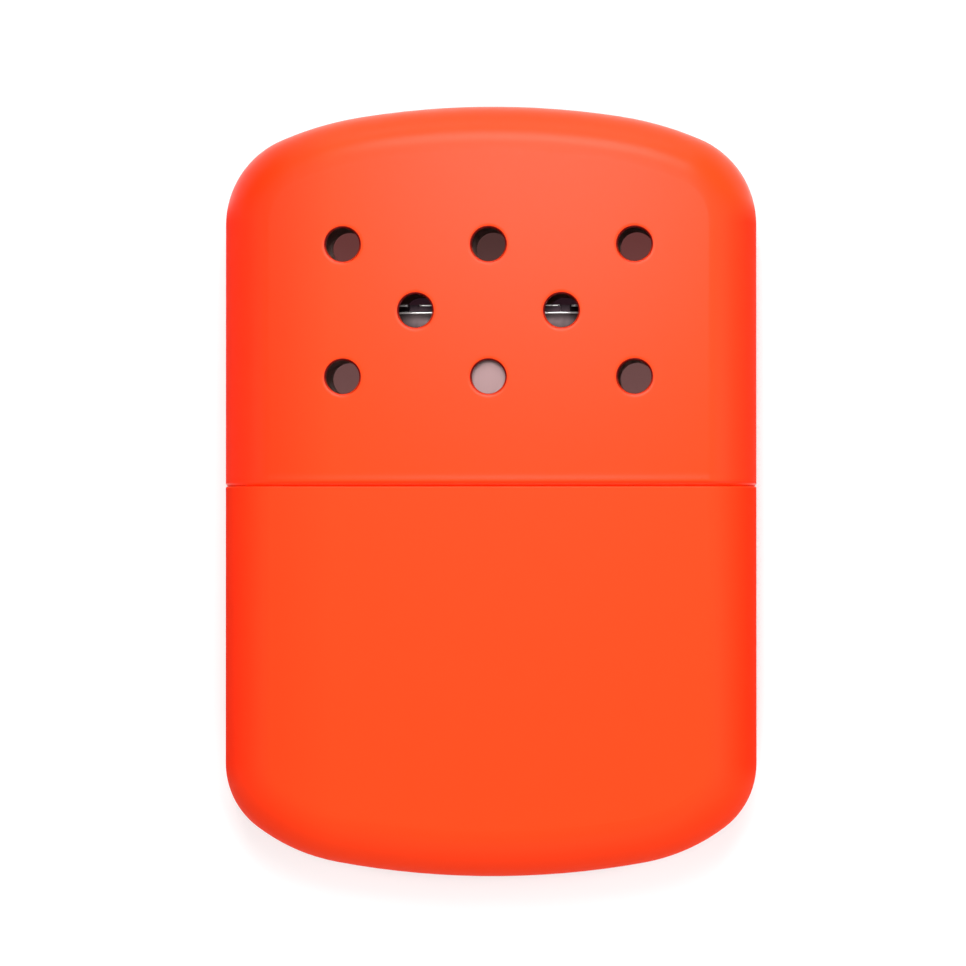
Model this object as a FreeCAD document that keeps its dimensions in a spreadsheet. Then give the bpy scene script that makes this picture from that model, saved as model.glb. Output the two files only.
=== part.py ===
import FreeCAD, Part
import math
import os
import Sketcher
from FreeCAD import Placement, Rotation, Vector

# A refillable catalytic pocket hand warmer, lying on its back.
# X runs across the case, Y runs along it towards the cap end and Z out of the front face.
# The origin is the middle of the flat back.

doc = FreeCAD.newDocument("PocketHandWarmer")

# ---------------------------------------------------------------- driving sizes (mm and degrees)
SIZES = [
    # the case
    ("case_width", 68.3, "width of the case"),
    ("case_depth", 13.5, "front to back"),
    ("cap_length", 48.9, "seam to the cap end"),
    ("tank_length", 50.1, "seam to the tank end"),
    ("shell_wall", 0.65, "sheet of both shells"),
    ("edge_round", 6.0, "rounding between the faces and the sides"),
    ("cap_lip_round", 0.45, "rounding of the cap's lip at the seam"),
    ("tank_lip_round", 0.22, "rounding of the tank's lip at the seam"),
    ("cap_corner", 11.85, "corner radius of the cap end"),
    ("cap_corner_angle", 66.7, "angle that this corner turns"),
    ("cap_shoulder", 43.0, "radius between the corner and the crown"),
    ("cap_shoulder_angle", 14.4, "angle that this shoulder turns"),
    ("tank_corner", 10.25, "corner radius of the tank end"),
    ("tank_corner_angle", 52.8, "angle that this corner turns"),
    ("tank_shoulder", 24.4, "radius between the corner and the crown"),
    ("tank_shoulder_angle", 26.8, "angle that this shoulder turns"),
    # the vent holes, in rows of 3, 2 and 3
    ("vent_diameter", 4.3, "vent hole"),
    ("vent_rim_round", 0.25, "rounding of its outer rim"),
    ("vent_pitch", 18.68, "between the holes of a row"),
    ("vent_row_pitch", 8.47, "between the rows"),
    ("vent_first_row", 13.95, "seam to the lowest row"),
    # the collar and the deck inside it
    ("collar_fit", 0.1, "between the collar and the shells"),
    ("collar_wall", 0.5, "sheet of the collar"),
    ("collar_rise", 6.5, "how far the collar stands out of the tank"),
    ("collar_seat", 6.0, "how far it reaches into the tank"),
    ("collar_lead", 0.2, "rounding of its leading edge"),
    ("deck_drop", 1.0, "collar edge to the top of the deck"),
    ("deck_plate", 0.6, "sheet of the deck"),
    ("deck_fit", 0.05, "between the deck and the collar"),
    # the burner
    ("burner_width", 29.0, "width of the burner"),
    ("burner_room", 0.8, "between the burner's faces and the cap"),
    ("burner_wall", 0.4, "sheet of its skirt"),
    ("burner_top", 22.4, "seam to the flat top of the skirt"),
    ("burner_shoulder", 2.0, "rounding at the top of the skirt"),
    ("window_margin", 2.8, "skirt's outside to the edge of its window"),
    ("grille_margin", 2.1, "skirt's outside to the edge of the grille"),
    ("grille_plate", 0.9, "thickness of the grille"),
    ("grille_slot", 3.2, "width of a slot in the grille"),
    ("grille_slot_pitch", 4.6, "between the slots"),
    ("grille_rim", 1.2, "edge of the grille to its slots"),
    ("grille_edge_round", 0.25, "rounding of its upper edge"),
    ("notch_place", 9.7, "middle to the notches in the grille's edge"),
    ("notch_width", 1.2, "width of a notch"),
    ("notch_cut", 0.7, "how far a notch cuts in"),
    ("mat_thickness", 3.4, "catalyst mat"),
    ("screen_plate", 0.4, "pierced screen under the mat"),
    ("screen_hole", 1.6, "hole in the screen"),
    ("screen_pitch", 2.5, "between its holes"),
    ("screen_fit", 0.05, "between the screen and the skirt"),
    # the filler neck
    ("burner_fit", 0.1, "between the neck and the skirt"),
    ("neck_wall", 0.4, "sheet of the neck"),
    ("neck_height", 9.5, "how far the neck stands above its flange"),
    ("flange_width", 0.6, "flange around the neck"),
    ("flange_plate", 0.4, "thickness of the flange"),
    ("burner_seat_gap", 0.1, "between the flange and the skirt"),
    # the cotton
    ("soft_gap", 0.3, "between a soft piece and what holds it"),
    ("wick_drop", 5.0, "neck rim to the top of the wick"),
]

sheet = doc.addObject("Spreadsheet::Sheet", "Sizes")
for row, (alias, number, meaning) in enumerate(SIZES, start=1):
    sheet.set(f"A{row}", meaning)
    sheet.set(f"B{row}", str(number))
    sheet.setAlias(f"B{row}", alias)
doc.recompute()


# ---------------------------------------------------------------- sizes that keep their expression
class Measure:
    """A number together with the sheet expression that gives it."""

    def __init__(self, text, value):
        self.text = text
        self.value = value

    def __add__(self, other):
        other = measure(other)
        return Measure(f"({self.text} + {other.text})", self.value + other.value)

    def __sub__(self, other):
        other = measure(other)
        return Measure(f"({self.text} - {other.text})", self.value - other.value)

    def __mul__(self, factor):
        return Measure(f"({self.text} * {factor})", self.value * factor)

    def __truediv__(self, divisor):
        return Measure(f"({self.text} / {divisor})", self.value / divisor)


def measure(number):
    return number if isinstance(number, Measure) else Measure(str(number), number)


def size(alias):
    return Measure(f"Sizes.{alias}", float(sheet.get(alias)))


def bind(item, path, wanted):
    item.setExpression(path, measure(wanted).text)


# ---------------------------------------------------------------- places shared by several pieces
mid_depth = size("case_depth") / 2
burner_depth = size("case_depth") - (size("shell_wall") + size("burner_room")) * 2
seam_y = (size("tank_length") - size("cap_length")) / 2
deck_top_y = seam_y + size("collar_rise") - size("deck_drop")
flange_top_y = deck_top_y + size("flange_plate")
neck_rim_y = flange_top_y + size("neck_height")
skirt_foot_y = flange_top_y + size("burner_seat_gap")
skirt_top_y = seam_y + size("burner_top")
mat_top_y = skirt_top_y - size("burner_wall") - size("soft_gap")
mat_foot_y = mat_top_y - size("mat_thickness")
screen_foot_y = mat_foot_y - size("soft_gap") - size("screen_plate")
deck_foot_y = deck_top_y - size("deck_plate")

collar_inset = size("shell_wall") + size("collar_fit")
collar_bore_inset = collar_inset + size("collar_wall")
neck_inset = size("burner_wall") + size("burner_fit")
neck_bore_inset = neck_inset + size("neck_wall")


# ---------------------------------------------------------------- cross sections shared by several pieces
def case_section(inset):
    """Width, depth and corner radius of the case's cross section, this far inside its outside."""
    return size("case_width") - inset * 2, size("case_depth") - inset * 2, size("edge_round") - inset


def burner_section(inset):
    """Width and depth of the burner's slot-shaped cross section, this far inside its outside."""
    return size("burner_width") - inset * 2, burner_depth - inset * 2


# ---------------------------------------------------------------- bodies, sketches and features
def new_body(label, place_y, turned=False, place_z=mid_depth):
    """A body whose own frame stands at place_y along the case, on the mid-depth plane unless told otherwise.
    A turned body grows towards the tank end."""
    body = doc.addObject("PartDesign::Body", label)
    body.Label = label
    angle = 180 if turned else 0
    body.Placement = Placement(Vector(0, 0, 0), Rotation(Vector(0, 0, 1), angle))
    bind(body, "Placement.Base.y", place_y)
    bind(body, "Placement.Base.z", place_z)
    return body


def new_sketch(body, role, name):
    plane = next(item for item in body.Origin.OriginFeatures if item.Role == role)
    sketch = body.newObject("Sketcher::SketchObject", name)
    sketch.AttachmentSupport = [(plane, "")]
    sketch.MapMode = "FlatFace"
    return sketch


def dimension(sketch, name, wanted, kind, *places):
    """A driving dimension bound to the sheet. Angles are in degrees in the sheet."""
    wanted = measure(wanted)
    value = math.radians(wanted.value) if kind == "Angle" else wanted.value
    index = sketch.addConstraint(Sketcher.Constraint(kind, *places, value))
    sketch.renameConstraint(index, name)
    bind(sketch, f"Constraints.{name}", wanted)


def join(sketch, kind, first, second):
    """Ties the end of one edge to the start of the next."""
    sketch.addConstraint(Sketcher.Constraint(kind, first, 2, second, 1))


def arc(centre, radius, start, end):
    circle = Part.Circle(Vector(centre[0], centre[1], 0), Vector(0, 0, 1), radius)
    return Part.ArcOfCircle(circle, math.radians(start), math.radians(end))


def line(start, end):
    return Part.LineSegment(Vector(start[0], start[1], 0), Vector(end[0], end[1], 0))


# In every sketch below, edge -1 is the X axis, edge -2 the Y axis, and point 1 of edge -1 the origin.
def draw_case_end(sketch, width, length, corner, corner_angle, shoulder, shoulder_angle):
    """Half of the case seen from the front: a straight foot on the X axis, straight sides and a domed end
    of five tangent arcs (corner, shoulder, crown, shoulder, corner) that reaches the given length."""
    half = width.value / 2
    first = math.radians(corner_angle.value)
    second = first + math.radians(shoulder_angle.value)
    step = shoulder.value - corner.value
    shoulder_x = half - corner.value - step * math.cos(first)
    crown = shoulder.value + shoulder_x / math.cos(second)
    rise = crown - (crown - shoulder.value) * math.sin(second) - step * math.sin(first)
    corner_y = length.value - rise
    shoulder_y = corner_y - step * math.sin(first)
    turn_1 = math.degrees(first)
    turn_2 = math.degrees(second)

    foot, right, corner_1, shoulder_1, top, shoulder_2, corner_2, left = range(8)
    sketch.addGeometry([
        line((-half, 0), (half, 0)),
        line((half, 0), (half, corner_y)),
        arc((half - corner.value, corner_y), corner.value, 0, turn_1),
        arc((shoulder_x, shoulder_y), shoulder.value, turn_1, turn_2),
        arc((0, length.value - crown), crown, turn_2, 180 - turn_2),
        arc((-shoulder_x, shoulder_y), shoulder.value, 180 - turn_2, 180 - turn_1),
        arc((corner.value - half, corner_y), corner.value, 180 - turn_1, 180),
        line((-half, corner_y), (-half, 0)),
    ], False)
    for before, after in ((right, corner_1), (corner_1, shoulder_1), (shoulder_1, top),
                          (top, shoulder_2), (shoulder_2, corner_2), (corner_2, left)):
        join(sketch, "Tangent", before, after)
    join(sketch, "Coincident", left, foot)
    join(sketch, "Coincident", foot, right)
    sketch.addConstraint([
        Sketcher.Constraint("PointOnObject", foot, 1, -1),
        Sketcher.Constraint("Symmetric", foot, 1, foot, 2, -2),
        Sketcher.Constraint("Vertical", right),
        Sketcher.Constraint("Vertical", left),
        Sketcher.Constraint("Equal", corner_1, corner_2),
        Sketcher.Constraint("Equal", shoulder_1, shoulder_2),
        Sketcher.Constraint("Horizontal", right, 2, left, 1),
        Sketcher.Constraint("PointOnObject", top, 3, -2),
    ])
    # a construction line across the crown carries the length
    level = sketch.addGeometry(line((-corner.value, length.value), (corner.value, length.value)), True)
    sketch.addConstraint([
        Sketcher.Constraint("Symmetric", level, 1, level, 2, -2),
        Sketcher.Constraint("Tangent", level, top),
    ])
    dimension(sketch, "level_span", corner * 2, "DistanceX", level, 1, level, 2)
    dimension(sketch, "width", width, "DistanceX", foot, 1, foot, 2)
    dimension(sketch, "length", length, "DistanceY", -1, 1, level, 1)
    dimension(sketch, "corner", corner, "Radius", corner_1)
    dimension(sketch, "shoulder", shoulder, "Radius", shoulder_1)
    dimension(sketch, "corner_angle", corner_angle, "Angle", corner_1)
    dimension(sketch, "shoulder_angle", shoulder_angle, "Angle", shoulder_1)


def draw_rounded_box(sketch, name, width, height, radius):
    """A rounded rectangle about the sketch's origin."""
    right = width.value / 2
    top = height.value / 2
    turn = radius.value
    base = sketch.GeometryCount
    sketch.addGeometry([
        line((turn - right, -top), (right - turn, -top)),
        arc((right - turn, turn - top), turn, 270, 360),
        line((right, turn - top), (right, top - turn)),
        arc((right - turn, top - turn), turn, 0, 90),
        line((right - turn, top), (turn - right, top)),
        arc((turn - right, top - turn), turn, 90, 180),
        line((-right, top - turn), (-right, turn - top)),
        arc((turn - right, turn - top), turn, 180, 270),
    ], False)
    for step in range(8):
        join(sketch, "Tangent", base + step, base + (step + 1) % 8)
    sketch.addConstraint([
        Sketcher.Constraint("Horizontal", base),
        Sketcher.Constraint("Vertical", base + 2),
        Sketcher.Constraint("Horizontal", base + 4),
        Sketcher.Constraint("Vertical", base + 6),
        Sketcher.Constraint("Equal", base + 1, base + 3),
        Sketcher.Constraint("Equal", base + 1, base + 5),
        Sketcher.Constraint("Equal", base + 1, base + 7),
        Sketcher.Constraint("Symmetric", base, 1, base + 4, 1, -1, 1),
    ])
    dimension(sketch, f"{name}_width", width - radius * 2, "DistanceX", base, 1, base, 2)
    dimension(sketch, f"{name}_height", height - radius * 2, "DistanceY", base + 2, 1, base + 2, 2)
    dimension(sketch, f"{name}_radius", radius, "Radius", base + 1)


def draw_slot(sketch, name, width, height):
    """A slot with round ends about the sketch's origin, longer along X."""
    radius = height / 2
    reach = width.value / 2 - radius.value
    base = sketch.GeometryCount
    sketch.addGeometry([
        line((-reach, -radius.value), (reach, -radius.value)),
        arc((reach, 0), radius.value, -90, 90),
        line((reach, radius.value), (-reach, radius.value)),
        arc((-reach, 0), radius.value, 90, 270),
    ], False)
    for step in range(4):
        join(sketch, "Tangent", base + step, base + (step + 1) % 4)
    sketch.addConstraint([
        Sketcher.Constraint("Horizontal", base),
        Sketcher.Constraint("Equal", base + 1, base + 3),
        Sketcher.Constraint("Symmetric", base + 1, 3, base + 3, 3, -1, 1),
    ])
    dimension(sketch, f"{name}_centres", width - height, "DistanceX", base + 3, 3, base + 1, 3)
    dimension(sketch, f"{name}_radius", radius, "Radius", base + 1)


def draw_hole(sketch, name, diameter, across, up):
    """A circle at this place. A coordinate of None puts it on that axis."""
    centre = Vector(0 if across is None else across.value, 0 if up is None else up.value, 0)
    hole = sketch.addGeometry(Part.Circle(centre, Vector(0, 0, 1), diameter.value / 2), False)
    dimension(sketch, f"{name}_radius", diameter / 2, "Radius", hole)
    if across is None:
        sketch.addConstraint(Sketcher.Constraint("PointOnObject", hole, 3, -2))
    else:
        dimension(sketch, f"{name}_across", across, "DistanceX", -1, 1, hole, 3)
    if up is None:
        sketch.addConstraint(Sketcher.Constraint("PointOnObject", hole, 3, -1))
    else:
        dimension(sketch, f"{name}_up", up, "DistanceY", -1, 1, hole, 3)


def draw_box(sketch, name, left, foot, width, height):
    """A rectangle from its lower left corner."""
    base = sketch.GeometryCount
    x, y = left.value, foot.value
    corners = [(x, y), (x + width.value, y), (x + width.value, y + height.value), (x, y + height.value)]
    sketch.addGeometry([line(corners[step], corners[(step + 1) % 4]) for step in range(4)], False)
    for step in range(4):
        join(sketch, "Coincident", base + step, base + (step + 1) % 4)
    sketch.addConstraint([
        Sketcher.Constraint("Horizontal", base),
        Sketcher.Constraint("Vertical", base + 1),
        Sketcher.Constraint("Horizontal", base + 2),
        Sketcher.Constraint("Vertical", base + 3),
    ])
    dimension(sketch, f"{name}_left", left, "DistanceX", -1, 1, base, 1)
    dimension(sketch, f"{name}_foot", foot, "DistanceY", -1, 1, base, 1)
    dimension(sketch, f"{name}_width", width, "DistanceX", base, 1, base, 2)
    dimension(sketch, f"{name}_height", height, "DistanceY", base + 1, 1, base + 1, 2)


def pad(body, sketch, name, length, along=True):
    """Pads a sketch: along Y from an XZ sketch, or evenly about an XY sketch."""
    feature = body.newObject("PartDesign::Pad", name)
    feature.Profile = sketch
    bind(feature, "Length", length)
    if along:
        feature.Reversed = True
    else:
        feature.SideType = "Symmetric"
    doc.recompute()
    return feature


def cut_through(body, sketch, name):
    """Cuts a sketch right through the body, both ways."""
    before = body.Shape.Volume
    feature = body.newObject("PartDesign::Pocket", name)
    feature.Profile = sketch
    feature.Type = "ThroughAll"
    feature.SideType = "Symmetric"
    doc.recompute()
    if not body.Shape.Volume < before:
        raise RuntimeError(f"{body.Label}: {name} cuts nothing")
    return feature


def round_edges(body, base, name, radius, chosen):
    """Fillets the edges of the base feature that the test picks."""
    names = [f"Edge{number}" for number, edge in enumerate(base.Shape.Edges, start=1) if chosen(edge)]
    feature = body.newObject("PartDesign::Fillet", name)
    feature.Base = (base, names)
    bind(feature, "Radius", radius)
    doc.recompute()
    return feature


NEAR = 1e-4


def lies_at(edge, axis, level):
    """True when the whole edge has this coordinate."""
    box = edge.BoundBox
    low, high = {"y": (box.YMin, box.YMax), "z": (box.ZMin, box.ZMax)}[axis]
    return abs(low - level) < NEAR and abs(high - level) < NEAR


# ---------------------------------------------------------------- the painted case
def make_shell(label, length, end_sizes, lip_round, turned=False):
    """One drawn half of the case: domed, round-edged, hollow and open at the seam."""
    body = new_body(label, seam_y, turned)
    outline = new_sketch(body, "XY_Plane", f"{label}_outline")
    draw_case_end(outline, size("case_width"), length, *end_sizes)
    block = pad(body, outline, f"{label}_block", size("case_depth"), along=False)

    def on_a_face(edge):
        on_front = lies_at(edge, "z", mid_depth.value)
        on_back = lies_at(edge, "z", -mid_depth.value)
        return (on_front or on_back) and not lies_at(edge, "y", 0)

    rounded = round_edges(body, block, f"{label}_edges", size("edge_round"), on_a_face)
    mouth = [f"Face{number}" for number, face in enumerate(rounded.Shape.Faces, start=1)
             if lies_at(face, "y", 0)]
    hollow = body.newObject("PartDesign::Thickness", f"{label}_hollow")
    hollow.Base = (rounded, mouth)
    hollow.Reversed = True
    hollow.Join = 0
    bind(hollow, "Value", size("shell_wall"))
    doc.recompute()

    rim = next(face for face in hollow.Shape.Faces if lies_at(face, "y", 0))
    outer = rim.OuterWire.Edges
    round_edges(body, hollow, f"{label}_lip", lip_round,
                lambda edge: any(edge.isSame(other) for other in outer))
    return body


cap_end = [size("cap_corner"), size("cap_corner_angle"), size("cap_shoulder"), size("cap_shoulder_angle")]
tank_end = [size("tank_corner"), size("tank_corner_angle"),
            size("tank_shoulder"), size("tank_shoulder_angle")]

tank_shell = make_shell("tank_shell", size("tank_length"), tank_end, size("tank_lip_round"), turned=True)
cap_shell = make_shell("cap_shell", size("cap_length"), cap_end, size("cap_lip_round"))

# the vents: a row of three, a row of two between them and another row of three, front and back alike
vents = new_sketch(cap_shell, "XY_Plane", "vent_places")
for row, columns in enumerate([(-1, 0, 1), (-0.5, 0.5), (-1, 0, 1)]):
    row_y = size("vent_first_row") + size("vent_row_pitch") * row
    for number, column in enumerate(columns):
        across = size("vent_pitch") * column if column else None
        draw_hole(vents, f"vent_{row}_{number}", size("vent_diameter"), across, row_y)
vent_cut = cut_through(cap_shell, vents, "vent_cut")


def is_vent_rim(edge):
    round_edge = isinstance(edge.Curve, Part.Circle)
    if not round_edge or abs(edge.Curve.Radius - size("vent_diameter").value / 2) > NEAR:
        return False
    return lies_at(edge, "z", mid_depth.value) or lies_at(edge, "z", -mid_depth.value)


round_edges(cap_shell, vent_cut, "vent_rims", size("vent_rim_round"), is_vent_rim)


# ---------------------------------------------------------------- the collar and deck
tank_collar = new_body("tank_collar", seam_y - size("collar_seat"))
sleeve = new_sketch(tank_collar, "XZ_Plane", "collar_section")
draw_rounded_box(sleeve, "outside", *case_section(collar_inset))
draw_rounded_box(sleeve, "inside", *case_section(collar_bore_inset))
collar_length = size("collar_seat") + size("collar_rise")
collar_pad = pad(tank_collar, sleeve, "collar_sleeve", collar_length)
collar_rim = next(face for face in collar_pad.Shape.Faces if lies_at(face, "y", collar_length.value))
collar_edges = collar_rim.OuterWire.Edges
round_edges(tank_collar, collar_pad, "collar_lead_edge", size("collar_lead"),
            lambda edge: any(edge.isSame(other) for other in collar_edges))

tank_deck = new_body("tank_deck", deck_top_y - size("deck_plate"))
deck = new_sketch(tank_deck, "XZ_Plane", "deck_section")
draw_rounded_box(deck, "edge", *case_section(collar_bore_inset + size("deck_fit")))
draw_slot(deck, "bore", *burner_section(neck_bore_inset))
pad(tank_deck, deck, "deck_sheet", size("deck_plate"))


# ---------------------------------------------------------------- the filler neck
filler_neck = new_body("filler_neck", deck_top_y)
tube = new_sketch(filler_neck, "XZ_Plane", "neck_section")
draw_slot(tube, "outside", *burner_section(neck_inset))
draw_slot(tube, "bore", *burner_section(neck_bore_inset))
pad(filler_neck, tube, "neck_tube", size("flange_plate") + size("neck_height"))
flange = new_sketch(filler_neck, "XZ_Plane", "flange_section")
draw_slot(flange, "outside", *burner_section(neck_inset - size("flange_width")))
draw_slot(flange, "bore", *burner_section(neck_bore_inset))
pad(filler_neck, flange, "neck_flange", size("flange_plate"))


# ---------------------------------------------------------------- the burner
burner_skirt = new_body("burner_skirt", skirt_foot_y)
skirt_height = skirt_top_y - skirt_foot_y
skirt = new_sketch(burner_skirt, "XZ_Plane", "skirt_section")
draw_slot(skirt, "outside", *burner_section(measure(0)))
skirt_block = pad(burner_skirt, skirt, "skirt_block", skirt_height)
skirt_round = round_edges(burner_skirt, skirt_block, "skirt_shoulder", size("burner_shoulder"),
                          lambda edge: lies_at(edge, "y", skirt_height.value))
skirt_foot = [f"Face{number}" for number, face in enumerate(skirt_round.Shape.Faces, start=1)
              if lies_at(face, "y", 0)]
skirt_hollow = burner_skirt.newObject("PartDesign::Thickness", "skirt_hollow")
skirt_hollow.Base = (skirt_round, skirt_foot)
skirt_hollow.Reversed = True
skirt_hollow.Join = 0
bind(skirt_hollow, "Value", size("burner_wall"))
doc.recompute()
window = new_sketch(burner_skirt, "XZ_Plane", "window_section")
draw_slot(window, "window", *burner_section(size("window_margin")))
cut_through(burner_skirt, window, "skirt_window")

burner_grille = new_body("burner_grille", skirt_top_y)
plate = new_sketch(burner_grille, "XZ_Plane", "grille_section")
draw_slot(plate, "edge", *burner_section(size("grille_margin")))
grille_pad = pad(burner_grille, plate, "grille_block", size("grille_plate"))
round_edges(burner_grille, grille_pad, "grille_edge", size("grille_edge_round"),
            lambda edge: lies_at(edge, "y", size("grille_plate").value))
grille_edge = burner_depth / 2 - size("grille_margin")
slot_reach = grille_edge - size("grille_rim")
slots = new_sketch(burner_grille, "XZ_Plane", "grille_slots")
for number, place in enumerate((-2, -1, 0, 1, 2)):
    slot_left = size("grille_slot_pitch") * place - size("grille_slot") / 2
    draw_box(slots, f"slot_{number}", slot_left, slot_reach * -1, size("grille_slot"), slot_reach * 2)
cut_through(burner_grille, slots, "grille_windows")
notches = new_sketch(burner_grille, "XZ_Plane", "grille_notches")
for number, side in enumerate((-1, 1)):
    notch_left = size("notch_place") * side - size("notch_width") / 2
    draw_box(notches, f"front_{number}", notch_left, grille_edge - size("notch_cut"),
             size("notch_width"), size("notch_cut") * 2)
    draw_box(notches, f"back_{number}", notch_left, (grille_edge + size("notch_cut")) * -1,
             size("notch_width"), size("notch_cut") * 2)
cut_through(burner_grille, notches, "grille_notch_cuts")

catalyst_mat = new_body("catalyst_mat", mat_foot_y)
mat = new_sketch(catalyst_mat, "XZ_Plane", "mat_section")
draw_slot(mat, "edge", *burner_section(size("burner_wall") + size("soft_gap")))
mat_pad = pad(catalyst_mat, mat, "mat_block", size("mat_thickness"))
mat_round = size("burner_shoulder") - size("burner_wall") - size("soft_gap")
round_edges(catalyst_mat, mat_pad, "mat_edge", mat_round,
            lambda edge: lies_at(edge, "y", size("mat_thickness").value))

catalyst_screen = new_body("catalyst_screen", screen_foot_y)
screen = new_sketch(catalyst_screen, "XZ_Plane", "screen_section")
draw_slot(screen, "edge", *burner_section(size("burner_wall") + size("screen_fit")))
pad(catalyst_screen, screen, "screen_sheet", size("screen_plate"))
pierced = new_sketch(catalyst_screen, "XZ_Plane", "screen_holes")
for column in range(-4, 5):
    for level in (-1, 0, 1):
        across = size("screen_pitch") * column if column else None
        up = size("screen_pitch") * level if level else None
        draw_hole(pierced, f"hole_{column + 4}_{level + 1}", size("screen_hole"), across, up)
cut_through(catalyst_screen, pierced, "screen_piercing")


# ---------------------------------------------------------------- the cotton
wick_foot_y = deck_foot_y
wick_top_y = neck_rim_y - size("wick_drop")
neck_wick = new_body("neck_wick", wick_foot_y)
wick = new_sketch(neck_wick, "XZ_Plane", "wick_section")
draw_slot(wick, "edge", *burner_section(neck_bore_inset + size("soft_gap")))
pad(neck_wick, wick, "wick_block", wick_top_y - wick_foot_y)

# three batts fill the tank up to the deck, with rounded edges on the outer two
batt_foot_y = deck_foot_y - size("soft_gap")
batt_stack = size("case_depth") - (collar_bore_inset + size("soft_gap")) * 2
batt_depth = (batt_stack - size("soft_gap") * 2) / 3
middle_inset = collar_bore_inset + size("soft_gap") * 2
batt_round = batt_depth * 0.9
outer_inset = size("edge_round") - batt_round
for label, step, inset in (("fuel_batt_back", -1, outer_inset), ("fuel_batt_middle", 0, middle_inset),
                           ("fuel_batt_front", 1, outer_inset)):
    batt_z = mid_depth + (batt_depth + size("soft_gap")) * step
    batt = new_body(label, batt_foot_y, turned=True, place_z=batt_z)
    batt_outline = new_sketch(batt, "XY_Plane", f"{label}_outline")
    corner, corner_angle, shoulder, shoulder_angle = tank_end
    batt_length = size("tank_length") + batt_foot_y - seam_y - inset
    draw_case_end(batt_outline, size("case_width") - inset * 2, batt_length,
                  corner - inset, corner_angle, shoulder - inset, shoulder_angle)
    batt_block = pad(batt, batt_outline, f"{label}_block", batt_depth, along=False)
    if step:
        outer_level = batt_depth.value / 2 * step
        round_edges(batt, batt_block, f"{label}_edges", batt_round,
                    lambda edge: lies_at(edge, "z", outer_level) and not lies_at(edge, "y", 0))


# ---------------------------------------------------------------- checks and files
doc.recompute()
for item in doc.Objects:
    if "Invalid" in item.State or "Error" in item.State:
        raise RuntimeError(f"{item.Name} failed: {item.State}")

bodies = [item for item in doc.Objects if item.TypeId == "PartDesign::Body"]
for body in bodies:
    if body.Shape.isNull() or not body.Shape.isValid() or len(body.Shape.Solids) != 1:
        raise RuntimeError(f"{body.Label} is not one valid solid")

os.makedirs("parts", exist_ok=True)
for body in bodies:
    body.Shape.exportStep(f"parts/{body.Label}.step")
    print(f"{body.Label}: {body.Shape.Volume:.1f} mm3")
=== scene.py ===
import math
import bpy
from mathutils import Matrix, Vector, noise


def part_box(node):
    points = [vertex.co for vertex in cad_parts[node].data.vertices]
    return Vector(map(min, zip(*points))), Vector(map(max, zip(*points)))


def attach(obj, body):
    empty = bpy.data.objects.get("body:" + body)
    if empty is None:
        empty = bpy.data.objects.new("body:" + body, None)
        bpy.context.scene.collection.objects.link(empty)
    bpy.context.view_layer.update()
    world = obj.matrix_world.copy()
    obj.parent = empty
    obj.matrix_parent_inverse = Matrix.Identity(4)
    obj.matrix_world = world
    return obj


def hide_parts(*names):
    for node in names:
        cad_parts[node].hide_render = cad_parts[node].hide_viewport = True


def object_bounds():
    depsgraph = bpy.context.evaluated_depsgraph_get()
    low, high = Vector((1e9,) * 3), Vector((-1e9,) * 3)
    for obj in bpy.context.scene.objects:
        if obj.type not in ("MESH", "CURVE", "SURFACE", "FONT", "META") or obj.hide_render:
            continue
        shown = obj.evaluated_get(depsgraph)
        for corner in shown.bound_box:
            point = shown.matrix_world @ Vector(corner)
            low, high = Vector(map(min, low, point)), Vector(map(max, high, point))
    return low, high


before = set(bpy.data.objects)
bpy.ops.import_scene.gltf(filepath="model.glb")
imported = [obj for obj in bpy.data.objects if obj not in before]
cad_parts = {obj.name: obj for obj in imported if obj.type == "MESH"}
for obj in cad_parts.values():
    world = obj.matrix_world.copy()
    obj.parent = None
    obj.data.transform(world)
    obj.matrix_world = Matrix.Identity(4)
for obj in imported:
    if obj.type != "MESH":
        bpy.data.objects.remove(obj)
cad_low, cad_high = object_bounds()
mm = 0.001


# ---- The table top
# A large pale board that the warmer lies on. Part of its white only shows to the camera and in reflections, and
# far out all of it does, to meet the white room. Where the warmer covers the board, its colour and its glow
# turn to painted shade, darkest under the burner, with fainter patches of painted light where the vents are.
bpy.ops.object.select_all(action="DESELECT")
bpy.ops.mesh.primitive_plane_add(size=6.0, location=(0, 0, 0))
table_top = bpy.context.object
table_top.name = "table_top"


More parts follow.
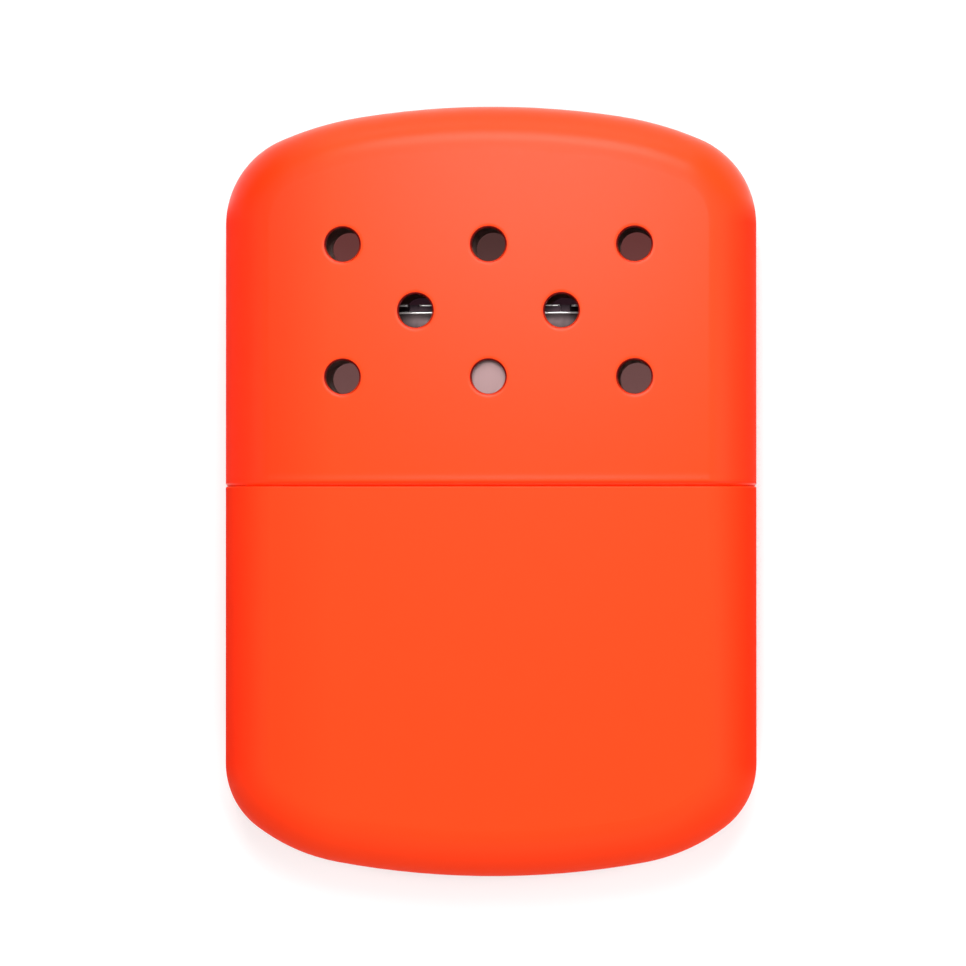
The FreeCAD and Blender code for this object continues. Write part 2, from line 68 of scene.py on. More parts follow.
class Finish:
    """A material being made: adds nodes by kind and wires them."""

    def __init__(self, name, kind="BsdfPrincipled"):
        self.material = bpy.data.materials.new(name)
        self.material.use_nodes = True
        self.nodes = self.material.node_tree.nodes
        self.links = self.material.node_tree.links
        self.nodes.clear()
        self.place = self.add("TexCoord")
        self.surface = self.add(kind)
        self.out = self.add("OutputMaterial")
        self.wire(self.surface.outputs[0], self.out.inputs["Surface"])

    def add(self, kind, **inputs):
        node = self.nodes.new("ShaderNode" + kind)
        for socket, value in inputs.items():
            node.inputs[socket.replace("_", " ")].default_value = value
        return node

    def wire(self, source, target):
        self.links.new(source, target)

    def reckon(self, operation, first, second=None, third=None):
        node = self.nodes.new("ShaderNodeMath")
        node.operation = operation
        for socket, value in zip(node.inputs, (first, second, third)):
            if isinstance(value, (int, float)):
                socket.default_value = value
            elif value is not None:
                self.wire(value, socket)
        return node.outputs["Value"]

    def spread(self, value, low, high, to_low, to_high):
        """Maps a value from one range to another, held at the ends."""
        node = self.add("MapRange", From_Min=low, From_Max=high, To_Min=to_low, To_Max=to_high)
        self.wire(value, node.inputs["Value"])
        return node.outputs["Result"]

    def blend(self, amount, first, second):
        """A colour between two, each a socket or a plain colour."""
        node = self.nodes.new("ShaderNodeMix")
        node.data_type = "RGBA"
        self.wire(amount, node.inputs["Factor"])
        for socket, colour in ((node.inputs[6], first), (node.inputs[7], second)):
            if isinstance(colour, tuple):
                socket.default_value = (*colour, 1)
            else:
                self.wire(colour, socket)
        return node.outputs[2]

    def split(self, vector):
        node = self.add("SeparateXYZ")
        self.wire(vector, node.inputs["Vector"])
        return node.outputs["X"], node.outputs["Y"], node.outputs["Z"]

    def grain(self, scale, detail=3.0, stretch=(1, 1, 1)):
        """Noise in the object's own metres, drawn out where the stretch is under 1."""
        along = self.add("Mapping", Scale=stretch)
        self.wire(self.place.outputs["Object"], along.inputs["Vector"])
        texture = self.add("TexNoise", Scale=scale, Detail=detail)
        self.wire(along.outputs["Vector"], texture.inputs["Vector"])
        return texture.outputs["Fac"]

    def relief(self, height, depth, under=None):
        """Bump for a height of 0 to 1 that is this deep, in metres."""
        bump = self.add("Bump", Strength=1.0, Distance=depth)
        self.wire(height, bump.inputs["Height"])
        if under is not None:
            self.wire(under, bump.inputs["Normal"])
        return bump.outputs["Normal"]


board_white = (0.6, 0.6, 0.6)
board_shaded = (0.09, 0.05, 0.05)
near_glow = (0.5, 0.5, 0.5)
far_glow = (1.0, 1.0, 1.0)
# painted shade and light on the covered board, seen through the vents: darkest under the burner, lighter beside it,
# dimmer and lighter again beyond its end
shade_under_burner = (0.02, 0.008, 0.012)
vent_light_beside_burner = (0.148, 0.068, 0.066)
shade_past_burner = (0.076, 0.033, 0.031)
vent_light_under_corners = (0.133, 0.040, 0.038)
cover_reach = 30 * mm
near_reach = 300 * mm
far_reach = 1200 * mm
board = Finish("pale_board", "BsdfDiffuse")
board_open = board.add("AmbientOcclusion", Distance=cover_reach)
board_open.samples = 16
# painted shade: where the warmer covers the board, found by ambient occlusion, its colour darkens to board_shaded
board_cover = board.spread(board_open.outputs["AO"], 0.3, 0.55, 0.0, 1.0)
board.wire(board.blend(board_cover, board_shaded, board_white), board.surface.inputs["Color"])
board_lift = board.add("Emission")
board_x, board_y = board.split(board.place.outputs["Object"])[:2]
board_aside = board.reckon("ABSOLUTE", board_x)
# the painted shade and light under the warmer, by place across and along it
board_beside = board.blend(board.spread(board_aside, 12.5 * mm, 16.5 * mm, 0.0, 1.0), shade_under_burner, vent_light_beside_burner)
board_above = board.blend(board.spread(board_aside, 6 * mm, 12 * mm, 0.0, 1.0), shade_past_burner, vent_light_under_corners)
burner_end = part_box("burner_skirt")[1].y
board_past = board.spread(board_y, burner_end + 2.5 * mm, burner_end + 5 * mm, 0.0, 1.0)
board_painted_shade = board.blend(board_past, board_beside, board_above)
board_out = board.nodes.new("ShaderNodeVectorMath")
board_out.operation = "LENGTH"
board.wire(board.place.outputs["Object"], board_out.inputs[0])
board_far = board.spread(board_out.outputs["Value"], near_reach, far_reach, 0.0, 1.0)
board_glow = board.blend(board_far, near_glow, far_glow)
# under the warmer the board glows with the painted shade and light instead of white
board.wire(board.blend(board_cover, board_painted_shade, board_glow), board_lift.inputs["Color"])
board_path = board.add("LightPath")
board_seen = board.reckon("MAXIMUM", board_path.outputs["Is Camera Ray"], board_path.outputs["Is Glossy Ray"])
board.wire(board_seen, board_lift.inputs["Strength"])
board_sum = board.add("AddShader")
board.wire(board.surface.outputs[0], board_sum.inputs[0])
board.wire(board_lift.outputs[0], board_sum.inputs[1])
board.wire(board_sum.outputs[0], board.out.inputs["Surface"])
table_top.data.materials.append(board.material)


# ---- The light
# A pale room all round, wide soft lamps to the right, to the left and beyond both ends, and a small one close
# over the cap end that gives the faces their sheen. Three more only show as a gleam, and a low one lights the
# cap's end and shows as none.
room_strength = 0.22
world = bpy.data.worlds.new("white_room")
bpy.context.scene.world = world
world.use_nodes = True
room_nodes = world.node_tree.nodes
room_links = world.node_tree.links
room_nodes.clear()
room_light = room_nodes.new("ShaderNodeBackground")
room_light.inputs["Color"].default_value = (1, 1, 1, 1)
room_light.inputs["Strength"].default_value = room_strength
room_seen = room_nodes.new("ShaderNodeBackground")
room_seen.inputs["Color"].default_value = (1, 1, 1, 1)
room_path = room_nodes.new("ShaderNodeLightPath")
room_mix = room_nodes.new("ShaderNodeMixShader")
room_links.new(room_path.outputs["Is Camera Ray"], room_mix.inputs["Fac"])
room_links.new(room_light.outputs["Background"], room_mix.inputs[1])
room_links.new(room_seen.outputs["Background"], room_mix.inputs[2])
room_out = room_nodes.new("ShaderNodeOutputWorld")
room_links.new(room_mix.outputs["Shader"], room_out.inputs["Surface"])


def soft_lamp(name, place, width, height, power):
    """A rectangular lamp that points at the middle of the warmer."""
    bpy.ops.object.light_add(type="AREA", location=place)
    lamp = bpy.context.object
    lamp.name = name
    lamp.data.shape = "RECTANGLE"
    lamp.data.size = width
    lamp.data.size_y = height
    lamp.data.energy = power
    lamp.rotation_euler = (-Vector(place)).to_track_quat("-Z", "Y").to_euler()
    return lamp


sheen_place = (0.006, 0.082, 0.237)
soft_lamp("sheen_lamp", sheen_place, 0.12, 0.08, 0.21)
soft_lamp("right_lamp", (0.9, -0.1, 0.75), 0.9, 0.9, 6.2)
soft_lamp("left_lamp", (-0.9, -0.1, 0.75), 0.9, 0.9, 4.0)
soft_lamp("tank_end_lamp", (0.1, -0.95, 0.7), 0.9, 0.7, 4.3)
soft_lamp("cap_end_lamp", (0.04, 0.55, 0.5), 0.5, 0.2, 2.9)
for gleam in (soft_lamp("sheen_gleam", sheen_place, 0.12, 0.08, 0.2),
              soft_lamp("cap_end_gleam", (0.02, 0.43, 0.55), 0.4, 0.24, 2.7),
              soft_lamp("low_gleam", (0.0, 0.8, 0.22), 0.8, 0.3, 1.8)):
    gleam.visible_diffuse = False
low_lamp = soft_lamp("low_lamp", (0.0, 0.8, 0.12), 0.8, 0.3, 3.0)
low_lamp.visible_glossy = False


# ---- The camera
# A long lens above the front face, leaning a little to the right and towards the tank end.
case_middle = (cad_low + cad_high) / 2
lean_right = math.radians(2.8)
lean_down = math.radians(0.65)
stand_off = 820 * mm
picture_width = 124.4 * mm
sensor_width = 36
aim_shift = Vector((-1.02 * mm, 1.06 * mm, 0))
aim_point = case_middle + aim_shift
camera_place = case_middle + Vector((math.tan(lean_right), -math.tan(lean_down), 1)) * stand_off
bpy.ops.object.camera_add(location=camera_place)
camera = bpy.context.object
camera.name = "camera"
look = (aim_point - camera_place).normalized()
picture_right = look.cross(Vector((0, 1, 0))).normalized()
picture_up = picture_right.cross(look)
camera.rotation_euler = Matrix((picture_right, picture_up, -look)).transposed().to_euler()
camera.data.sensor_width = sensor_width
camera.data.lens = sensor_width * (aim_point - camera_place).length / picture_width
camera.data.clip_start = 0.01
camera.data.clip_end = 20
bpy.context.scene.camera = camera
bpy.context.scene.view_settings.view_transform = "Standard"


# ---- The painted case: tank_shell and cap_shell
# Two drawn halves of thin sheet steel that meet at the seam. Outside they carry a satin orange powder coat,
# with painted shade that reddens it as the rounded edges turn away, along the left side and the cap's lip, and
# in the vents' walls and rims. Inside they are bare, browned by the warmth.
face_orange = (1.0, 0.0560, 0.0078)
# painted shade: the red that the rounded edges turn as they face away
edge_shade_orange = (1.0, 0.028, 0.001)
# painted shade along the left side and in a band on the cap's lip
shade_red = (1.0, 0.022, 0.0005)
mottle_orange = (0.95, 0.048, 0.006)
# painted shade in the vents' cut walls and round their rims
vent_shade_red = (0.12, 0.001, 0.0005)
bare_brown = (0.45, 0.24, 0.21)
edge_begins = 0.02  # radians away from the face
edge_ends = 0.95
case_wall = 0.65 * mm
seam_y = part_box("tank_shell")[1].y
face_crown_across = 330 * mm
face_crown_along = 2000 * mm
lip_swell = 0.045 * mm
lip_place = 0.75 * mm
lip_width = 0.5 * mm
# where the painted shade along the cap's lip lies, above the seam
lip_shade_place = 0.3 * mm
vent_dimple = 0.08 * mm
vent_radius = 2.15 * mm
vent_pitch = 18.68 * mm
vent_row_pitch = 8.47 * mm
vent_first_row = seam_y + 13.95 * mm
vent_places = [(across * vent_pitch, vent_first_row + row * vent_row_pitch)
               for row, line in enumerate(((-1, 0, 1), (-0.5, 0.5), (-1, 0, 1))) for across in line]


def powder_coat(name, gloss, satin, end_shade, left_shade):
    """Satin orange paint outside and browned steel inside the same drawn sheet. The last two say how much of the
    sides' painted shade the end's rounding takes, and how strong the painted shade along the left side is."""
    coat = Finish(name)
    x, y, z = coat.split(coat.place.outputs["Object"])
    from_seam = coat.reckon("SUBTRACT", y, seam_y)
    from_middle = coat.reckon("SUBTRACT", z, case_middle.z)
    normal_y, normal_z = coat.split(coat.place.outputs["Normal"])[1:]
    facing = coat.reckon("ABSOLUTE", normal_z)

    # how far the nearest vent's middle is
    on_face = coat.add("CombineXYZ")
    coat.wire(x, on_face.inputs["X"])
    coat.wire(y, on_face.inputs["Y"])
    nearest = 1.0
    for vent in vent_places:
        away = coat.nodes.new("ShaderNodeVectorMath")
        away.operation = "DISTANCE"
        coat.wire(on_face.outputs["Vector"], away.inputs[0])
        away.inputs[1].default_value = (*vent, 0)
        nearest = coat.reckon("MINIMUM", away.outputs["Value"], nearest)

    # the sheet's inside: it lies a wall's depth in, and its normals point back at the middle of the case
    outline = coat.add("CombineXYZ")
    for value, socket in ((x, "X"), (from_seam, "Y"), (from_middle, "Z")):
        coat.wire(value, outline.inputs[socket])
    outward = coat.nodes.new("ShaderNodeVectorMath")
    outward.operation = "DOT_PRODUCT"
    coat.wire(outline.outputs["Vector"], outward.inputs[0])
    coat.wire(coat.place.outputs["Normal"], outward.inputs[1])
    inward = coat.reckon("LESS_THAN", outward.outputs["Value"], 0.0)
    off_middle = coat.reckon("ABSOLUTE", from_middle)
    deep = coat.reckon("LESS_THAN", off_middle, case_middle.z - case_wall * 0.95)
    inside = coat.reckon("MULTIPLY", inward, deep)

    # orange on the faces; painted shade makes it redder as the edge turns away, along the left side and the cap's
    # lip, and darkest red on the vents' cut walls and rims
    turned = coat.reckon("ARCCOSINE", coat.reckon("MINIMUM", facing, 0.9999))
    # the end's rounding takes only part of the sides' painted shade
    to_end = coat.spread(coat.reckon("ABSOLUTE", normal_y), 0.0, 0.25, 1.0, end_shade)
    edge = coat.reckon("MULTIPLY", coat.spread(turned, edge_begins, edge_ends, 0.0, 1.0), to_end)
    orange = coat.blend(edge, face_orange, edge_shade_orange)
    # painted shade along the left side
    left_side_shade = coat.spread(x, -33 * mm, -20 * mm, left_shade, 0.0)
    # painted shade in a thin band along the cap's lip
    from_lip = coat.reckon("ABSOLUTE", coat.reckon("SUBTRACT", from_seam, lip_shade_place))
    lip_shade = coat.spread(from_lip, 0.25 * mm, 0.45 * mm, 0.75, 0.0)
    orange = coat.blend(coat.reckon("MAXIMUM", left_side_shade, lip_shade), orange, shade_red)
    mottle = coat.spread(coat.grain(330.0, 4.0), 0.3, 0.7, 0.0, 0.08)
    orange = coat.blend(mottle, orange, mottle_orange)
    in_sheet = coat.reckon("GREATER_THAN", off_middle, case_middle.z - case_wall)
    # painted shade on the vents' cut walls
    vent_shade = coat.reckon("MULTIPLY", coat.spread(facing, 0.45, 0.85, 1.0, 0.0),
                           coat.reckon("LESS_THAN", nearest, vent_radius + 0.4 * mm))
    # painted shade round each vent's rim, less where the rim faces the cap end
    vent_rim_shade = coat.reckon("MULTIPLY", coat.spread(nearest, vent_radius + 0.16 * mm, vent_radius + 0.3 * mm, 1.0, 0.0),
                          coat.spread(normal_y, 0.0, 0.5, 1.0, 0.3))
    vent_shade = coat.reckon("MULTIPLY", in_sheet, coat.reckon("MAXIMUM", vent_shade, vent_rim_shade))
    orange = coat.blend(vent_shade, orange, vent_shade_red)
    coat.wire(coat.blend(inside, orange, bare_brown), coat.surface.inputs["Base Color"])
    satiny = coat.spread(coat.grain(1100.0, 2.0), 0.3, 0.7, satin - 0.01, satin + 0.02)
    coat.wire(coat.reckon("MULTIPLY_ADD", edge, 0.45, satiny), coat.surface.inputs["Roughness"])
    coat.surface.inputs["Specular IOR Level"].default_value = gloss

    # the faces' slight crown, the swell of the cap's lip, and the sheet drawn in a little round each vent
    crown = coat.reckon("ADD",
                        coat.reckon("MULTIPLY", coat.reckon("MULTIPLY", x, x), -0.5 / face_crown_across),
                        coat.reckon("MULTIPLY", coat.reckon("MULTIPLY", y, y), -0.5 / face_crown_along))
    across_lip = coat.reckon("DIVIDE", coat.reckon("SUBTRACT", from_seam, lip_place), lip_width)
    fall = coat.reckon("MULTIPLY", coat.reckon("MULTIPLY", across_lip, across_lip), -1.0)
    swell = coat.reckon("POWER", math.e, fall)
    height = coat.reckon("MULTIPLY_ADD", swell, lip_swell, crown)
    drawn_in = coat.spread(nearest, vent_radius + 0.1 * mm, vent_radius + 0.6 * mm, 1.0, 0.0)
    height = coat.reckon("MULTIPLY_ADD", coat.reckon("MULTIPLY", drawn_in, drawn_in), -vent_dimple, height)
    pressed = coat.relief(height, 1.0)
    coat.wire(coat.relief(coat.grain(1400.0, 2.0), 0.004 * mm, pressed), coat.surface.inputs["Normal"])
    return coat.material


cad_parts["tank_shell"].material_slots[0].material = powder_coat("tank_powder_coat", 0.085, 0.42, 0.45, 0.45)
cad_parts["cap_shell"].material_slots[0].material = powder_coat("cap_powder_coat", 0.12, 0.31, 0.0, 0.9)


# ---- The plated fittings: tank_collar, tank_deck and filler_neck
# Nickel-plated sheet steel. The collar is spot-welded inside the tank's mouth and guides the cap, the deck
# closes the tank, and the neck, drawn up out of the deck, takes the fuel and carries the burner.
nickel_cloud = (0.33, 0.325, 0.315)
nickel_pale = (0.42, 0.415, 0.405)


def plated_steel(name, drawn_along):
    """Satin nickel with the fine lines of drawing and a few darker clouds."""
    plate = Finish(name)
    clouds = plate.spread(plate.grain(160.0, 3.0), 0.3, 0.7, 0.0, 1.0)
    plate.wire(plate.blend(clouds, nickel_cloud, nickel_pale), plate.surface.inputs["Base Color"])
    plate.surface.inputs["Metallic"].default_value = 1.0
    lines = plate.grain(2600.0, 3.0, drawn_along)
    plate.wire(plate.spread(lines, 0.25, 0.75, 0.28, 0.42), plate.surface.inputs["Roughness"])
    plate.wire(plate.relief(lines, 0.0015 * mm), plate.surface.inputs["Normal"])
    return plate.material


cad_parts["tank_collar"].material_slots[0].material = plated_steel("collar_nickel", (1, 0.03, 1))
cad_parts["tank_deck"].material_slots[0].material = plated_steel("deck_nickel", (0.03, 1, 1))
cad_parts["filler_neck"].material_slots[0].material = plated_steel("neck_nickel", (1, 0.03, 1))


# ---- The burner: burner_skirt, burner_grille and catalyst_screen
# A drawn steel hood that slips over the neck, with a slotted grille at its end and a pierced screen inside
# that holds the fleece. The hood's steel is darker towards the grille. The grille and screen are coloured near
# black as a painted shade.
hood_pale = (0.27, 0.176, 0.177)
hood_dark = (0.085, 0.062, 0.064)
# painted shade: the grille and screen are coloured near black for the shade they stand in
grille_shade = (0.045, 0.03, 0.035)
grille_deep_shade = (0.03, 0.02, 0.025)
skirt_low, skirt_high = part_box("burner_skirt")
grille_low, grille_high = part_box("burner_grille")


def steel_darker_along(name, pale, darkened, starts, ends):
    """Satin steel, darker and a little rougher from one height to another."""
    steel = Finish(name)
    height = steel.split(steel.place.outputs["Object"])[1]
    wavy = steel.reckon("MULTIPLY_ADD", steel.grain(300.0, 3.0), 1.4 * mm, height)
    darkening = steel.spread(wavy, starts + 0.7 * mm, ends + 0.7 * mm, 0.0, 1.0)
    steel.wire(steel.blend(darkening, pale, darkened), steel.surface.inputs["Base Color"])
    steel.surface.inputs["Metallic"].default_value = 1.0
    lines = steel.grain(2400.0, 3.0, (1, 0.05, 1))
    rough = steel.spread(lines, 0.25, 0.75, 0.34, 0.48)
    steel.wire(steel.reckon("MULTIPLY_ADD", darkening, 0.2, rough), steel.surface.inputs["Roughness"])
    steel.wire(steel.relief(lines, 0.003 * mm), steel.surface.inputs["Normal"])
    return steel.material


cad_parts["burner_skirt"].material_slots[0].material = steel_darker_along(
    "hood_steel", hood_pale, hood_dark, skirt_high.y - 6.0 * mm, skirt_high.y - 2.6 * mm)
# the near-black grille steel is painted shade
grille_shade_steel = steel_darker_along("grille_steel", grille_shade, grille_deep_shade, grille_low.y, grille_high.y)
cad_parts["burner_grille"].material_slots[0].material = grille_shade_steel
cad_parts["catalyst_screen"].material_slots[0].material = grille_shade_steel


# ---- The burner's bright edges: hood_bead and grille_rim
# Where the hood turns in under the grille it is beaded, and the grille's edge stands up as a thin rim with a
# gap at each notch. Both are coloured near white, a painted highlight for the glints along them.
bead_radius = 0.14 * mm
bead_y = skirt_high.y - 0.2 * mm
rim_y = grille_high.y - 0.12 * mm
notch_place = 9.7 * mm
notch_width = 1.4 * mm
turn_in = 0.9 * mm
arc_pull = 0.5523
# painted highlight: near-white steel for the glints along the bead and rim
painted_glint_white = (0.95, 0.92, 0.91)
scuffed_steel = (0.74, 0.70, 0.69)


def edge_wire(name, half_width, half_depth, corner, height):
    """A round wire bent to a rounded oblong that lies level at one height along the burner."""
    bpy.ops.object.select_all(action="DESELECT")
    bpy.ops.curve.primitive_bezier_circle_add(radius=1.0, location=(0, 0, 0))
    wire = bpy.context.object
    wire.name = name
    loop = wire.data.splines[0]
    loop.bezier_points.add(4)
    curl = corner * arc_pull
    places = (((half_width, -half_depth + corner), (0, -curl), (0, curl)),
              ((half_width, half_depth - corner), (0, -curl), (0, curl)),
              ((half_width - corner, half_depth), (curl, 0), (-curl, 0)),
              ((-half_width + corner, half_depth), (curl, 0), (-curl, 0)),
              ((-half_width, half_depth - corner), (0, curl), (0, -curl)),
              ((-half_width, -half_depth + corner), (0, curl), (0, -curl)),
              ((-half_width + corner, -half_depth), (-curl, 0), (curl, 0)),
              ((half_width - corner, -half_depth), (-curl, 0), (curl, 0)))
    for point, (place, before, after) in zip(loop.bezier_points, places):
        point.handle_left_type = point.handle_right_type = "FREE"
        point.co = (place[0], height, case_middle.z + place[1])
        point.handle_left = point.co + Vector((before[0], 0, before[1]))
        point.handle_right = point.co + Vector((after[0], 0, after[1]))
    wire.data.dimensions = "3D"
    wire.data.resolution_u = 16
    wire.data.bevel_depth = bead_radius
    wire.data.bevel_resolution = 3
    bpy.ops.object.convert(target="MESH")
    wire = bpy.context.object
    bpy.ops.object.mode_set(mode="EDIT")
    bpy.ops.mesh.select_all(action="SELECT")
    bpy.ops.mesh.remove_doubles(threshold=0.001 * mm)
    bpy.ops.mesh.normals_make_consistent(inside=False)
    bpy.ops.object.mode_set(mode="OBJECT")
    bpy.ops.object.shade_smooth()
    return wire


def glint_white_steel(name):
    """Steel coloured near white and half metallic, a painted highlight for glints, with fine scuffs."""
    bright = Finish(name)
    scuffs = bright.grain(900.0, 4.0, (0.3, 1, 1))
    bright.wire(bright.blend(bright.spread(scuffs, 0.35, 0.65, 0.0, 1.0), painted_glint_white, scuffed_steel),
                bright.surface.inputs["Base Color"])
    bright.surface.inputs["Metallic"].default_value = 0.5
    bright.wire(bright.spread(scuffs, 0.3, 0.7, 0.16, 0.28), bright.surface.inputs["Roughness"])
    bright.wire(bright.relief(scuffs, 0.002 * mm), bright.surface.inputs["Normal"])
    return bright.material


glint_white_finish = glint_white_steel("glint_white_steel")
hood_bead = edge_wire("hood_bead", skirt_high.x - turn_in, (skirt_high.z - skirt_low.z) / 2 - turn_in,
                      4.2 * mm, bead_y)
grille_rim = edge_wire("grille_rim", grille_high.x - bead_radius, (grille_high.z - grille_low.z) / 2 - bead_radius,
                       1.4 * mm, rim_y)

# the rim's wire is cut away at the notches
bpy.ops.object.select_all(action="DESELECT")
bpy.context.view_layer.objects.active = grille_rim
grille_rim.select_set(True)
for side in (-1, 1):
    for edge in (-1, 1):
        bpy.ops.object.mode_set(mode="EDIT")
        bpy.ops.mesh.select_all(action="SELECT")
        bpy.ops.mesh.bisect(plane_co=(side * notch_place + edge * notch_width / 2, 0, 0), plane_no=(1, 0, 0))
        bpy.ops.object.mode_set(mode="OBJECT")
bpy.ops.object.mode_set(mode="EDIT")
bpy.ops.mesh.select_mode(type="FACE")
bpy.ops.mesh.select_all(action="DESELECT")
bpy.ops.object.mode_set(mode="OBJECT")
for face in grille_rim.data.polygons:
    face.select = abs(abs(face.center.x) - notch_place) < notch_width / 2
bpy.ops.object.mode_set(mode="EDIT")
bpy.ops.mesh.delete(type="FACE")
bpy.ops.mesh.select_mode(type="VERT")
bpy.ops.mesh.select_non_manifold()
bpy.ops.mesh.edge_face_add()
bpy.ops.mesh.select_all(action="SELECT")
bpy.ops.mesh.normals_make_consistent(inside=False)
bpy.ops.object.mode_set(mode="OBJECT")
for bright_edge in (hood_bead, grille_rim):
    bright_edge.data.materials.clear()
    bright_edge.data.materials.append(glint_white_finish)
    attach(bright_edge, "burner")


# ---- The catalyst fleece
# A pad of woven glass fibre, greyed by the platinum on it. It is tucked into the burner's end, where it swells
# up behind the grille's slots.
cushion_size = 0.5
air_pressure = 4
puff_frames = 16


def filling(name, node, thread, swell, give):
    """A soft pad in the room of a CAD solid: taken in a little, then blown out by air pressure inside its cloth."""
    bpy.ops.object.select_all(action="DESELECT")
    low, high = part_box(node)
    middle = (low + high) / 2
    pad = bpy.data.objects.new(name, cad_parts[node].data.copy())
    bpy.context.collection.objects.link(pad)
    pad.data.materials.clear()
    pad.select_set(True)
    bpy.context.view_layer.objects.active = pad
    bpy.ops.object.mode_set(mode="EDIT")
    bpy.ops.mesh.select_all(action="SELECT")
    bpy.ops.mesh.remove_doubles(threshold=0.001 * mm)
    bpy.ops.mesh.normals_make_consistent(inside=False)
    taken_in = tuple(1 - 2 * give / (high[axis] - low[axis]) for axis in range(3))
    bpy.ops.transform.resize(value=taken_in, center_override=middle)
    bpy.ops.object.mode_set(mode="OBJECT")
    pad.data.remesh_voxel_size = thread
    bpy.ops.object.voxel_remesh()

    # the cloth is worked at the size of a sofa cushion, where its settings behave, and brought back after
    scale_up = cushion_size / max(high - low)
    flat_shape = [corner.co.copy() for corner in pad.data.vertices]
    bpy.ops.object.mode_set(mode="EDIT")
    bpy.ops.mesh.select_all(action="SELECT")
    bpy.ops.transform.resize(value=(scale_up,) * 3, center_override=middle)
    bpy.ops.object.mode_set(mode="OBJECT")
    puff = pad.modifiers.new("puff", "CLOTH")
    puff.settings.use_pressure = True
    puff.settings.uniform_pressure_force = air_pressure
    puff.settings.effector_weights.gravity = 0
    for frame_number in range(1, puff_frames + 1):
        bpy.context.scene.frame_set(frame_number)
    blown = pad.evaluated_get(bpy.context.evaluated_depsgraph_get())
    blown_shape = [corner.co.copy() for corner in blown.data.vertices]
    pad.modifiers.remove(puff)
    bpy.context.scene.frame_set(1)
    for corner, place in zip(pad.data.vertices, blown_shape):
        corner.co = place
    bpy.ops.object.mode_set(mode="EDIT")
    bpy.ops.mesh.select_all(action="SELECT")
    bpy.ops.transform.resize(value=(1 / scale_up,) * 3, center_override=middle)
    bpy.ops.object.mode_set(mode="OBJECT")
    for corner, start in zip(pad.data.vertices, flat_shape):
        push = corner.co - start
        if push.length > swell:
            corner.co = start + push.normalized() * swell
    finer = pad.modifiers.new("finer", "SUBSURF")
    finer.levels = finer.render_levels = 1
    bpy.ops.object.modifier_apply(modifier="finer")
    return pad


def teased(pad, clump, loft):
    """Lifts and sinks a pad's surface in soft clumps of fibre."""
    heights = [noise.fractal(corner.co / clump, 1.0, 2.0, 3) * loft for corner in pad.data.vertices]
    normals = [corner.normal.copy() for corner in pad.data.vertices]
    for corner, normal, height in zip(pad.data.vertices, normals, heights):
        corner.co += normal * height
    bpy.ops.object.shade_smooth()


def kept_in(pad, node):
    """Holds a pad inside the box of its CAD solid."""
    low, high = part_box(node)
    for corner in pad.data.vertices:
        corner.co = Vector(min(max(corner.co[axis], low[axis]), high[axis]) for axis in range(3))


catalyst_fleece = filling("catalyst_fleece", "catalyst_mat", 0.7 * mm, 0.5 * mm, 0.45 * mm)
teased(catalyst_fleece, 2.2 * mm, 0.14 * mm)
kept_in(catalyst_fleece, "catalyst_mat")
yarn_pitch = 0.9 * mm
clean_glass = (0.66, 0.65, 0.62)
platinum_grey = (0.33, 0.325, 0.32)
shade_between_yarns = (0.12, 0.12, 0.115)
weave = Finish("glass_fibre_weave")
weave_x, weave_z = weave.split(weave.place.outputs["Object"])[::2]
warp = weave.reckon("SINE", weave.reckon("MULTIPLY", weave_x, 2 * math.pi / yarn_pitch))
weft = weave.reckon("SINE", weave.reckon("MULTIPLY", weave_z, 2 * math.pi / yarn_pitch))
weave_height = weave.spread(weave.reckon("MULTIPLY", warp, weft), -1.0, 1.0, 0.0, 1.0)
fibres = weave.grain(4200.0, 4.0, (0.25, 1, 1))
platinum = weave.spread(weave.grain(420.0, 4.0), 0.4, 0.62, 0.0, 1.0)
woven = weave.blend(platinum, clean_glass, platinum_grey)
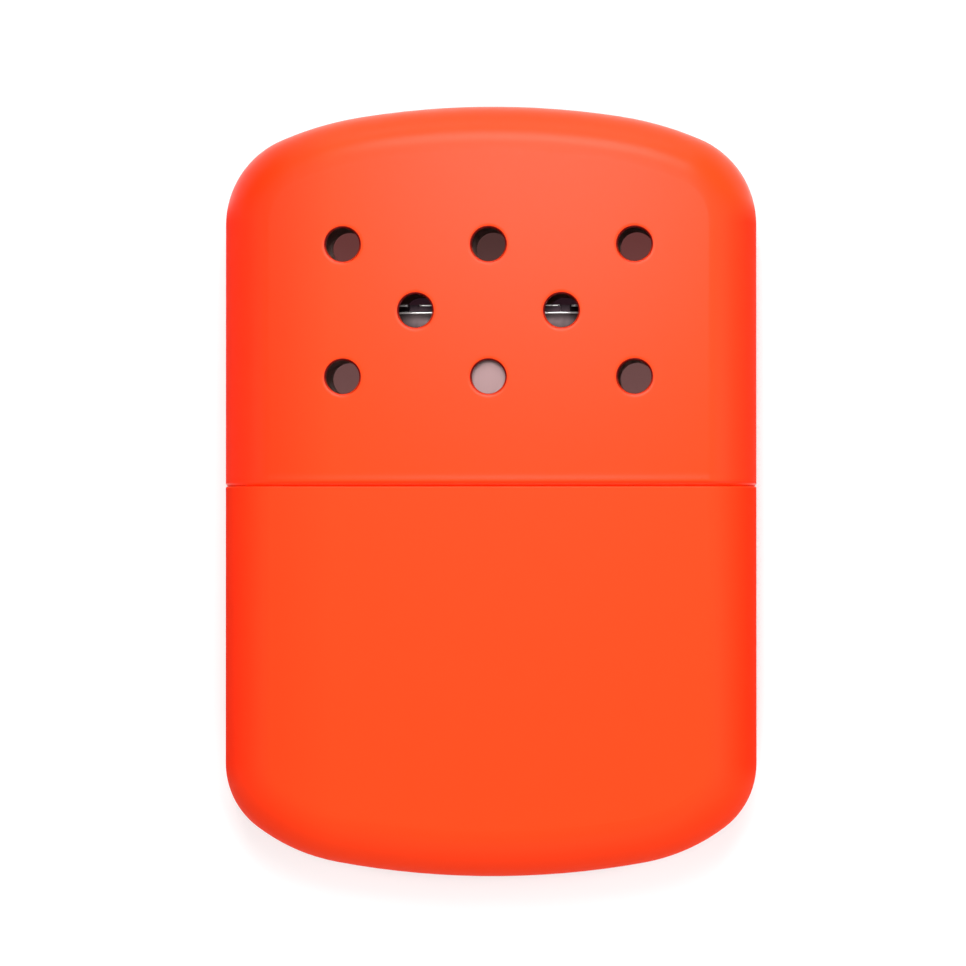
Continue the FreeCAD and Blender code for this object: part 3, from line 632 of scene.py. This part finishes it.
# painted shade: the weave is darker where its surface sinks between the yarns
weave.wire(weave.blend(weave.spread(weave_height, 0.0, 0.5, 0.55, 0.0), woven, shade_between_yarns),
           weave.surface.inputs["Base Color"])
weave.surface.inputs["Roughness"].default_value = 0.85
weave.surface.inputs["Sheen Weight"].default_value = 0.25
weave.wire(weave.relief(fibres, 0.03 * mm, weave.relief(weave_height, 0.12 * mm)), weave.surface.inputs["Normal"])
catalyst_fleece.data.materials.append(weave.material)
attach(catalyst_fleece, "burner")
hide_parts("catalyst_mat")


# ---- The cotton: wick_tuft and three fuel batts
# Bleached cotton wadding that soaks up the lighter fuel. Three layers are packed flat into the tank, and a
# tuft stands up from them into the neck, as a wick.
cotton_shade = (0.60, 0.57, 0.50)
cotton_white = (0.88, 0.865, 0.82)


def cotton(name, lie):
    """Off-white wadding, its fibres lying mostly one way."""
    wool = Finish(name)
    strands = wool.grain(1500.0, 6.0, lie)
    tufts = wool.grain(300.0, 4.0)
    # painted shade: the wadding is darker where its strands and tufts sink
    shade = wool.spread(wool.reckon("MULTIPLY", strands, tufts), 0.12, 0.42, 0.0, 1.0)
    wool.wire(wool.blend(shade, cotton_shade, cotton_white), wool.surface.inputs["Base Color"])
    wool.surface.inputs["Roughness"].default_value = 0.95
    wool.surface.inputs["Sheen Weight"].default_value = 0.4
    wool.surface.inputs["Sheen Roughness"].default_value = 0.6
    wool.wire(wool.relief(strands, 0.12 * mm, wool.relief(tufts, 0.4 * mm)), wool.surface.inputs["Normal"])
    return wool.material


wick_cotton = cotton("wick_cotton", (1, 0.2, 1))
batt_cotton = cotton("batt_cotton", (0.2, 1, 1))
for pad_name, node, thread, loft in (("wick_tuft", "neck_wick", 0.8 * mm, 0.35 * mm),
                                     ("cotton_back", "fuel_batt_back", 1.1 * mm, 0.22 * mm),
                                     ("cotton_middle", "fuel_batt_middle", 1.1 * mm, 0.22 * mm),
                                     ("cotton_front", "fuel_batt_front", 1.1 * mm, 0.22 * mm)):
    wadding = filling(pad_name, node, thread, 0.5 * mm, 0.5 * mm)
    teased(wadding, 3.0 * mm, loft)
    kept_in(wadding, node)
    wadding.data.materials.append(wick_cotton if node == "neck_wick" else batt_cotton)
    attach(wadding, "tank")
    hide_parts(node)
